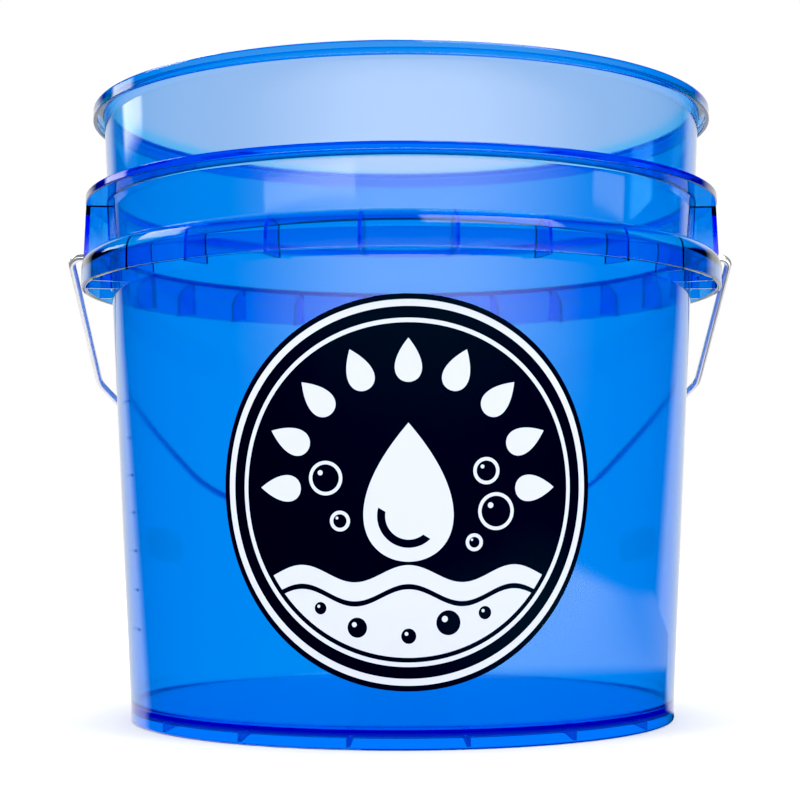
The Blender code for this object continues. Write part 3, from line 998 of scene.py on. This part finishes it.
def make_floor():
    """A wide white floor that the plastic neither mirrors nor shows through itself."""
    bm = bmesh.new()
    bmesh.ops.create_grid(bm, x_segments=1, y_segments=1, size=6.0)
    floor = add_object("floor", mesh_from("floor", bm))
    floor.location = (0.0, 0.0, -0.0002)
    floor.visible_glossy = False
    floor.visible_transmission = False
    material, nodes, output = new_material("floor_paper")
    grain = nodes.noise(object_point(nodes), 300.0, 3.0)
    inputs = {
        "Base Color": WHITE,
        "Roughness": 1.0,
        "Specular IOR Level": 0.0,
        "Normal": nodes.bump(grain, 0.0002, 0.1),
    }
    add_surface(nodes, output, inputs)
    floor.data.materials.append(material)


# painted light: the sheet glows blue under the bucket, for light filtered through its floor, and white
# beyond
UNDER_BUCKET = (0.128, 0.136)          # metres from the bucket's axis at which its blue light gives way
UNDER_BUCKET_PAINTED_LIGHT = (0.12, 0.40, 1.1, 1.0)
# The floor to the bucket's right as reflections show it, in metres: a glowing sheet with a painted
# reflection of the floor and painted shade of the bucket close round it
MIRROR_SIDES = ((-0.02, 0.16), (0.76, 0.62))
# painted shade of the bucket: the mirrored floor stays dark nearer its axis than this
MIRROR_SHADE_EDGE = (0.27, 0.32)            # distance from the bucket's axis at which it begins
MIRROR_NEAR = (0.1, -0.3)              # it grows brighter from the first of these towards the camera
MIRROR_NEAR_STRENGTH = (0.6, 3.2)
MIRROR_SLANT = -1.2                    # the edge of its far part runs askew by this slope
MIRROR_FAR = (-0.206, -0.171)
MIRROR_BEHIND = (-0.01, 0.01)


def make_glow(name, low, high, height, look_of, seen_by):
    """A glowing sheet under the floor that one kind of ray sees, between two corners in metres."""
    bm = bmesh.new()
    corners = ((low[0], low[1]), (high[0], low[1]), (high[0], high[1]), (low[0], high[1]))
    bm.faces.new([bm.verts.new((x, y, height)) for x, y in corners])
    sheet = add_object(name, mesh_from(name, bm))
    for kind in ("camera", "diffuse", "glossy", "transmission", "volume_scatter", "shadow"):
        setattr(sheet, "visible_" + kind, kind == seen_by)
    material, nodes, output = new_material(name)
    colour, strength = look_of(nodes)
    glow = nodes.add("ShaderNodeEmission", {"Color": colour, "Strength": strength})
    nodes.tree.links.new(glow.outputs[0], output.inputs["Surface"])
    sheet.data.materials.append(material)


def lit_table(nodes):
    """White floor behind the plastic, and painted blue light under the bucket itself, standing in for light
    that has come through the bucket.
    """
    parts = nodes.add("ShaderNodeSeparateXYZ", {"Vector": object_point(nodes)}).outputs
    outside = faded(nodes, nodes.from_axis(parts), UNDER_BUCKET)
    return nodes.blend(outside, UNDER_BUCKET_PAINTED_LIGHT, WHITE), 1.0


def mirrored_floor(nodes):
    """How bright the floor looks in a reflection, painted on a glowing sheet: dark close round the bucket
    as painted shade, and brighter towards the camera.
    """
    parts = nodes.add("ShaderNodeSeparateXYZ", {"Vector": object_point(nodes)}).outputs
    edges = faded(nodes, nodes.from_axis(parts), MIRROR_SHADE_EDGE)
    for side in MIRROR_SIDES:
        edges = nodes.maths("MULTIPLY", edges, faded(nodes, parts["X"], side))
    near = faded(nodes, parts["Y"], MIRROR_NEAR, *MIRROR_NEAR_STRENGTH)
    near = nodes.maths("MULTIPLY", edges, near)
    slanting = nodes.maths("MULTIPLY_ADD", parts["X"], MIRROR_SLANT, parts["Y"])
    behind = faded(nodes, parts["Y"], MIRROR_BEHIND)
    far = nodes.maths("MULTIPLY", faded(nodes, slanting, MIRROR_FAR), behind)
    return WHITE, nodes.maths("MAXIMUM", near, far)


def make_glows():
    """The floor as it shows through the plastic, and as it shows in reflections."""
    make_glow("lit_table", (-6.0, -6.0), (6.0, 6.0), -0.0001, lit_table, "transmission")
    make_glow("mirrored_floor", (-0.02, -0.6), (0.76, 0.3), -0.0003, mirrored_floor, "glossy")


BACKDROP = (0.66, 0.79)                # forward part of a direction between which the backdrop appears
BACKDROP_SLANT = 0.014                 # how much further forward it starts for each degree above level
BACKDROP_LEVEL = 4.0                   # no slant above this many degrees
BACKDROP_LEAN = 0.07                   # how much earlier it starts towards the right
# Glowing panels, in degrees round from straight in front and above level. Each side has its dark and
# its lit edge: left, right, lower, upper, strength
PANELS = (
    ((-72.0, -6.0), (84.0, 14.0), (-4.0, 1.0), (9.0, 8.0), 4.3),
    ((-54.0, -52.0), (-17.0, -19.0), (4.2, 4.5), (5.5, 5.2), 3.6),
    ((74.0, 76.0), (92.0, 90.0), (5.3, 5.6), (7.1, 6.8), 2.0),
    ((-133.0, -129.0), (-113.0, -117.0), (8.9, 9.9), (17.0, 15.5), 4.0),
)
# Two soft boxes overhead, by the sideways part of a direction over its distance from straight ahead
TOP_BOXES = (((0.04, 0.07), (0.55, 0.50)), ((-1.32, -1.27), (-0.86, -0.91)))
TOP_BOX_EDGE = (0.30, 0.45)            # upward part of a direction between which they appear
TOP_BOX_STRENGTH = 4.5
PINK_LOW = (10.95, 11.05)              # degrees above level: a lens-shaped pinker patch of the backdrop
PINK_HIGH = (15.05, 14.85)
PINK_MIDDLE = 1.15                     # degrees to the right of straight behind the bucket
PINK_BOW = 0.014                       # how fast its two edges close in on each other sideways
PINK = (2.6, 1.04, 0.93, 1.0)


def make_world():
    """White surroundings, with the studio's dark side and its front panel seen only in the plastic."""
    world = bpy.data.worlds.new("studio")
    bpy.context.scene.world = world
    world.use_nodes = True
    world.node_tree.nodes.clear()
    nodes = Nodes(world.node_tree)
    ray = nodes.add("ShaderNodeLightPath").outputs
    direct = nodes.maths("LESS_THAN", ray["Diffuse Depth"], 0.5)
    through = nodes.maths("MULTIPLY", ray["Is Transmission Ray"], direct)
    glossy = nodes.maths("SUBTRACT", ray["Is Glossy Ray"], ray["Is Transmission Ray"])
    mirrored = nodes.maths("MULTIPLY", nodes.maths("MAXIMUM", glossy, 0.0), direct)
    direction = nodes.add("ShaderNodeTexCoord").outputs["Generated"]
    parts = nodes.add("ShaderNodeSeparateXYZ", {"Vector": direction}).outputs
    to_front = nodes.maths("MULTIPLY", parts["Y"], -1.0)
    around = nodes.maths("DEGREES", nodes.maths("ARCTAN2", parts["X"], to_front))
    above = nodes.maths("DEGREES", nodes.maths("ARCSINE", parts["Z"]))
    slant = nodes.maths("MULTIPLY", nodes.maths("MINIMUM", above, BACKDROP_LEVEL), BACKDROP_SLANT)
    forward = nodes.maths("MULTIPLY_ADD", parts["X"], BACKDROP_LEAN, parts["Y"])
    reflected = faded(nodes, nodes.maths("SUBTRACT", forward, slant), BACKDROP)
    for left, right, low, top, power in PANELS:
        across = nodes.maths("MULTIPLY", faded(nodes, around, left), faded(nodes, around, right))
        upright = nodes.maths("MULTIPLY", faded(nodes, above, low), faded(nodes, above, top))
        panel = nodes.maths("MULTIPLY", nodes.maths("MULTIPLY", across, upright), power)
        reflected = nodes.maths("ADD", reflected, panel)
    overhead = faded(nodes, parts["Z"], TOP_BOX_EDGE, 0.0, TOP_BOX_STRENGTH)
    aside = nodes.maths("DIVIDE", parts["X"], nodes.maths("SUBTRACT", 1.0, parts["Y"]))
    for left, right in TOP_BOXES:
        across = nodes.maths("MULTIPLY", faded(nodes, aside, left), faded(nodes, aside, right))
        reflected = nodes.maths("MULTIPLY_ADD", across, overhead, reflected)
    strength = nodes.add("ShaderNodeMix", {"Factor": mirrored}, data_type="FLOAT")
    strength.inputs["A"].default_value = 1.0
    nodes.tree.links.new(reflected, strength.inputs["B"])
    sideways = nodes.maths("DEGREES", nodes.maths("ARCTAN2", parts["X"], parts["Y"]))
    sideways = nodes.maths("SUBTRACT", sideways, PINK_MIDDLE)
    bow = nodes.maths("MULTIPLY", nodes.maths("MULTIPLY", sideways, sideways), PINK_BOW)
    pink = nodes.maths("MULTIPLY", faded(nodes, nodes.maths("SUBTRACT", above, bow), PINK_LOW), through)
    pink = nodes.maths("MULTIPLY", faded(nodes, nodes.maths("ADD", above, bow), PINK_HIGH), pink)
    inputs = {"Color": nodes.blend(pink, WHITE, PINK), "Strength": strength.outputs["Result"]}
    sky = nodes.add("ShaderNodeBackground", inputs)
    output = nodes.add("ShaderNodeOutputWorld")
    nodes.tree.links.new(sky.outputs[0], output.inputs["Surface"])


def area_light(name, location, target, width, height, power):
    """A soft rectangular light aimed at a point, all in metres and watts."""
    data = bpy.data.lights.new(name, "AREA")
    data.shape = "RECTANGLE"
    data.size = width
    data.size_y = height
    data.energy = power
    light = add_object(name, data)
    light.location = location
    light.visible_glossy = False
    light.visible_transmission = False
    light.rotation_euler = (Vector(target) - Vector(location)).to_track_quat("-Z", "Y").to_euler()


def make_lights():
    """Soft boxes on both sides and one overhead, which the plastic doesn't mirror."""
    middle = (0.0, 0.0, 0.17)
    area_light("softbox_left", (-1.2, -0.9, 1.1), middle, 0.5, 0.7, 7.0)
    area_light("softbox_right", (1.2, -0.9, 1.0), middle, 0.5, 0.7, 7.0)
    area_light("overhead", (0.0, 0.3, 1.8), middle, 1.6, 1.6, 16.0)


def make_look():
    """Plain colours with slightly deep shadows."""
    view = bpy.context.scene.view_settings
    view.view_transform = "Standard"
    view.use_curve_mapping = True
    view.curve_mapping.black_level = BLACK_LEVEL
    view.curve_mapping.update()


def main():
    """Build every piece and the studio."""
    make_camera()
    make_bucket()
    make_bail()
    make_grip()
    make_label()
    make_floor()
    make_glows()
    make_world()
    make_lights()
    make_look()


main()
